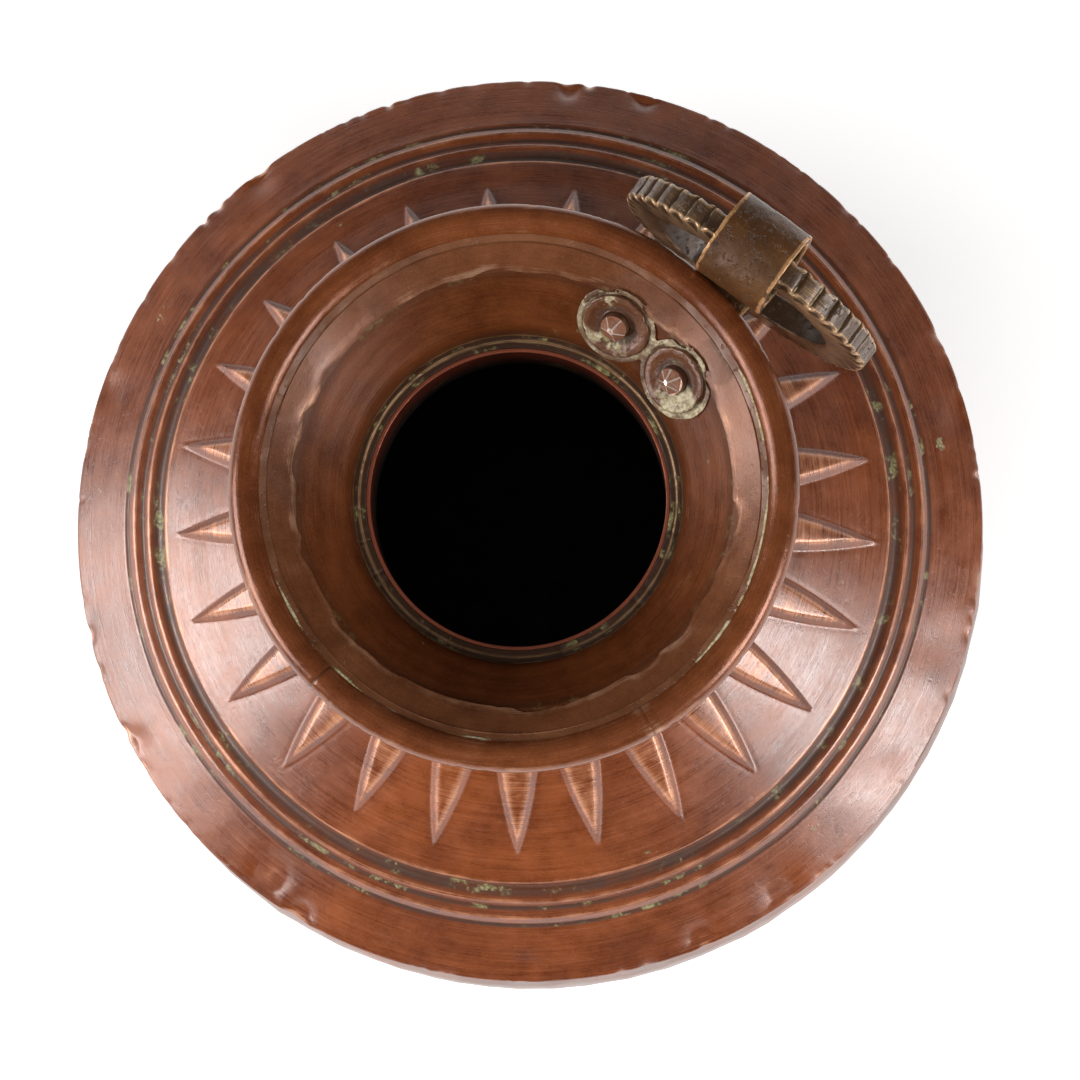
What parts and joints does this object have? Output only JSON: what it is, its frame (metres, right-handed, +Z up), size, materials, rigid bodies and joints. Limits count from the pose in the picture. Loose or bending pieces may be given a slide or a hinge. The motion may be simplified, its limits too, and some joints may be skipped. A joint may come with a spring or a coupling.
{
  "type": "copper water vessel",
  "caption": "Round bellied vessel with a fluted conical shoulder, a flared rolled mouth over a narrow neck, and a drop ring hanging in a riveted lug.",
  "frame": {"origin": "on the table, under the middle of the base plate", "axes": "+Z up through the mouth, +X towards the lug and its ring, +Y completes a right-handed frame"},
  "size_m": [0.307, 0.307, 0.3539],
  "materials": {
    "shoulder_copper": "worn reddish copper, circular brushing",
    "body_copper": "hammered copper, dull",
    "mouth_copper": "brown copper, circular brushing",
    "rim_copper": "smooth worn copper",
    "dark_copper": "tarnished copper",
    "washer_copper": "pitted copper with traces of tin",
    "rivet_copper": "bright hammered copper",
    "lug_bronze": "pitted bronze with green patina",
    "ring_bronze": "worn ribbed bronze",
    "tin": "dull tin solder with yellow-green bloom",
    "iron": "dark wire"
  },
  "bodies": {
    "vessel": {"base_plate": "dark_copper", "lower_body": "body_copper", "shoulder": "shoulder_copper", "neck_sleeve": "dark_copper", "neck_lip": "dark_copper", "mouth_funnel": "mouth_copper", "rim_collar": "mouth_copper", "rim_moulding": "rim_copper", "rim_wire": "iron", "base_solder": "tin", "shoulder_solder": "tin", "neck_solder": "tin", "rim_solder": "tin", "washer_solder": "tin", "washer_left": "washer_copper", "washer_right": "washer_copper", "rivet_left": "rivet_copper", "rivet_right": "rivet_copper", "handle_lug": "lug_bronze"},
    "ring": {"handle_ring": "ring_bronze"}
  },
  "joints": [
    {"name": "ring_swing", "type": "hinge", "parent": "vessel", "child": "ring", "pos_m": [0.0996, 0, 0.33963], "axis": [0.1736, -0.9848, 0], "range_deg": [-4.5, 262]}
  ]
}
